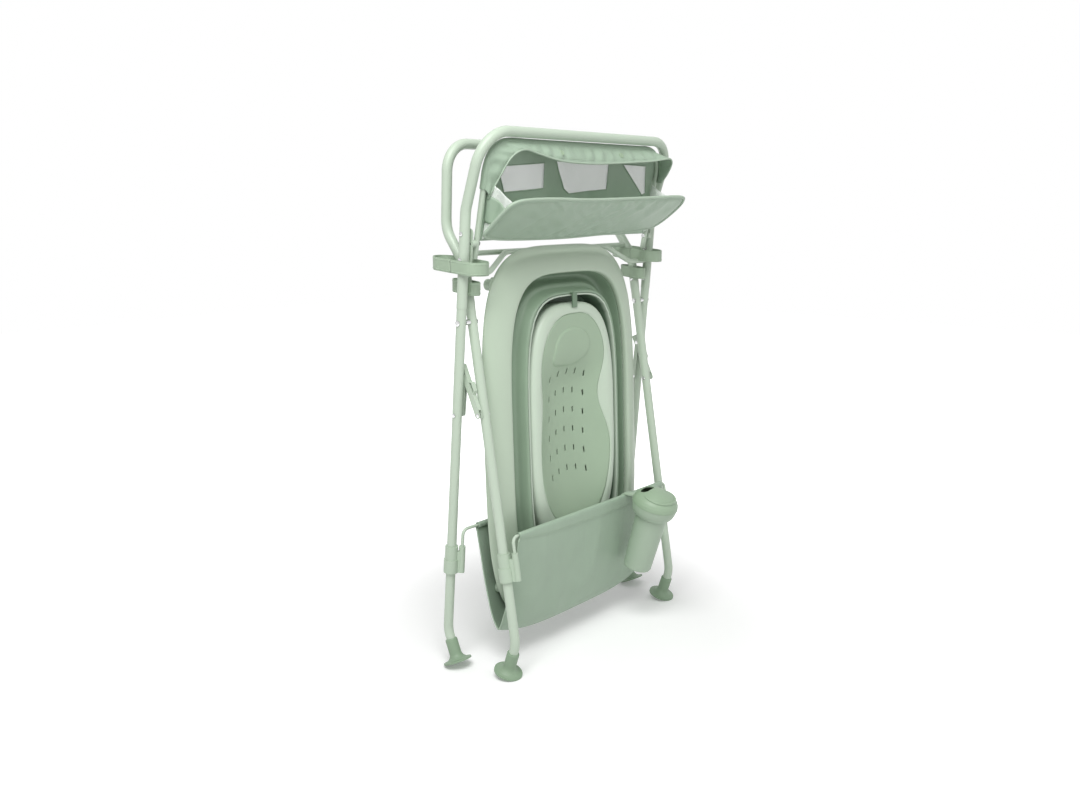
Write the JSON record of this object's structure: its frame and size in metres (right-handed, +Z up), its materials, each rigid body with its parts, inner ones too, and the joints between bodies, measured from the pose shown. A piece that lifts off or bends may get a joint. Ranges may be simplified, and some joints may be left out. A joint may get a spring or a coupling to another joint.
{
  "type": "baby bathtub with stand",
  "caption": "Collapsible baby bathtub stored upright in a folding tube stand with a cloth basket, a removable bath insert, a rinse cup and a tilting organizer.",
  "frame": {"origin": "on the floor under the middle of the folded stand's bounding box", "axes": "+Z up from the floor, +X to the viewer's right when facing the insert, +Y to the rear, away from the insert"},
  "size_m": [0.649, 0.2838, 1.0318],
  "materials": {
    "stand_tube": "satin powder coat",
    "rivet": "bright",
    "foot_plastic": "matte",
    "tub_plastic": "satin",
    "tub_wall": "soft matte",
    "insert_plastic": "satin",
    "insert_pad": "soft matte",
    "basket_cloth": "satin weave",
    "mesh_cloth": "open mesh",
    "webbing": "woven",
    "cup_plastic": "satin"
  },
  "bodies": {
    "pivot": {"pivot_pins": "rivet", "pivot_spacers": "rivet", "basket": "basket_cloth", "strap_left": "webbing", "strap_right": "webbing"},
    "outer_frame": {"outer_upper_tube": "stand_tube", "rear_leg_left": "stand_tube", "rear_leg_right": "stand_tube", "rear_foot_left": "foot_plastic", "rear_foot_right": "foot_plastic", "support_rod": "stand_tube", "tray_bracket_left": "stand_tube", "tray_bracket_right": "stand_tube", "outer_frame_rivets": "rivet", "basket_rear_rod": "stand_tube", "basket_rear_clips": "foot_plastic", "tub_rim": "tub_plastic", "tub_fold_wall": "tub_wall", "tub_base": "tub_wall", "tub_feet": "foot_plastic", "drain_plug": "foot_plastic"},
    "inner_frame": {"inner_upper_tube": "stand_tube", "front_leg_left": "stand_tube", "front_leg_right": "stand_tube", "front_foot_left": "foot_plastic", "front_foot_right": "foot_plastic", "cross_bar": "stand_tube", "inner_frame_rivets": "rivet", "basket_front_rod": "stand_tube", "basket_front_clips": "foot_plastic"},
    "brace_rear_left": {"rear_link_left": "stand_tube"},
    "brace_rear_right": {"rear_link_right": "stand_tube"},
    "brace_front_left": {"front_link_left": "stand_tube", "knee_rivets_left": "rivet"},
    "brace_front_right": {"front_link_right": "stand_tube", "knee_rivets_right": "rivet"},
    "organizer": {"tray_frame": "stand_tube", "tray_back": "basket_cloth", "tray_windows": "mesh_cloth", "tray_hood": "basket_cloth", "tray_panel": "basket_cloth"},
    "bath_insert": {"insert_shell": "insert_plastic", "insert_pad": "insert_pad", "insert_hook": "foot_plastic"},
    "rinse_cup": {"cup_body": "cup_plastic", "cup_hook": "cup_plastic"},
    "cup_cover": {"cup_lid": "cup_plastic"},
    "button_outer_left": {"outer_button_left": "rivet"},
    "button_outer_right": {"outer_button_right": "rivet"},
    "button_inner_left": {"inner_button_left": "rivet"},
    "button_inner_right": {"inner_button_right": "rivet"}
  },
  "joints": [
    {"name": "stand_fold", "type": "hinge", "parent": "pivot", "child": "outer_frame", "pos_m": [0, 0.06871, 0.68], "axis": [1, 0, 0], "range_deg": [0, 23.2], "deforming": ["basket", "strap_left", "strap_right"]},
    {"name": "inner_frame_fold", "type": "hinge", "parent": "pivot", "child": "inner_frame", "pos_m": [0, 0.06871, 0.68], "axis": [1, 0, 0], "range_deg": [-18, 0]},
    {"name": "brace_rear_left_turn", "type": "hinge", "parent": "outer_frame", "child": "brace_rear_left", "pos_m": [-0.28145, 0.08206, 0.50651], "axis": [1, 0, 0], "range_deg": [0, 61.1]},
    {"name": "brace_front_left_turn", "type": "hinge", "parent": "brace_rear_left", "child": "brace_front_left", "pos_m": [-0.28145, 0.07431, 0.58413], "axis": [1, 0, 0], "range_deg": [-149.73, 0]},
    {"name": "brace_rear_right_turn", "type": "hinge", "parent": "outer_frame", "child": "brace_rear_right", "pos_m": [0.28145, 0.08206, 0.50651], "axis": [1, 0, 0], "range_deg": [0, 61.1]},
    {"name": "brace_front_right_turn", "type": "hinge", "parent": "brace_rear_right", "child": "brace_front_right", "pos_m": [0.28145, 0.07431, 0.58413], "axis": [1, 0, 0], "range_deg": [-149.73, 0]},
    {"name": "organizer_tilt", "type": "hinge", "parent": "outer_frame", "child": "organizer", "pos_m": [0, 0.05272, 0.824], "axis": [1, 0, 0], "range_deg": [0, 60]},
    {"name": "insert_tilt", "type": "hinge", "parent": "outer_frame", "child": "bath_insert", "pos_m": [0, 0.03161, 0.20206], "axis": [1, 0, 0], "range_deg": [0, 10]},
    {"name": "cup_lift", "type": "slide", "parent": "inner_frame", "child": "rinse_cup", "axis": [0, 0, 1], "range_m": [0, 0.05]},
    {"name": "cup_lid_twist", "type": "hinge", "parent": "rinse_cup", "child": "cup_cover", "pos_m": [0.112, -0.09388, 0.2732], "axis": [0, -0.279, 0.9603], "range_deg": [0, 30]},
    {"name": "button_outer_right_press", "type": "slide", "parent": "outer_frame", "child": "button_outer_right", "axis": [1, 0, 0], "range_m": [0, 0.003], "stiffness_N_per_m": 600, "springref_m": -0.002},
    {"name": "button_outer_left_press", "type": "slide", "parent": "outer_frame", "child": "button_outer_left", "axis": [-1, 0, 0], "range_m": [0, 0.003], "stiffness_N_per_m": 600, "springref_m": -0.002},
    {"name": "button_inner_right_press", "type": "slide", "parent": "inner_frame", "child": "button_inner_right", "axis": [1, 0, 0], "range_m": [0, 0.003], "stiffness_N_per_m": 600, "springref_m": -0.002},
    {"name": "button_inner_left_press", "type": "slide", "parent": "inner_frame", "child": "button_inner_left", "axis": [-1, 0, 0], "range_m": [0, 0.003], "stiffness_N_per_m": 600, "springref_m": -0.002}
  ],
  "couplings": [
    {"joint": "inner_frame_fold", "follows": "stand_fold", "ratio": -0.77586},
    {"joint": "brace_rear_left_turn", "follows": "stand_fold", "ratio": 2.6333},
    {"joint": "brace_front_left_turn", "follows": "stand_fold", "ratio": -6.4534},
    {"joint": "brace_rear_right_turn", "follows": "stand_fold", "ratio": 2.6333},
    {"joint": "brace_front_right_turn", "follows": "stand_fold", "ratio": -6.4534}
  ]
}
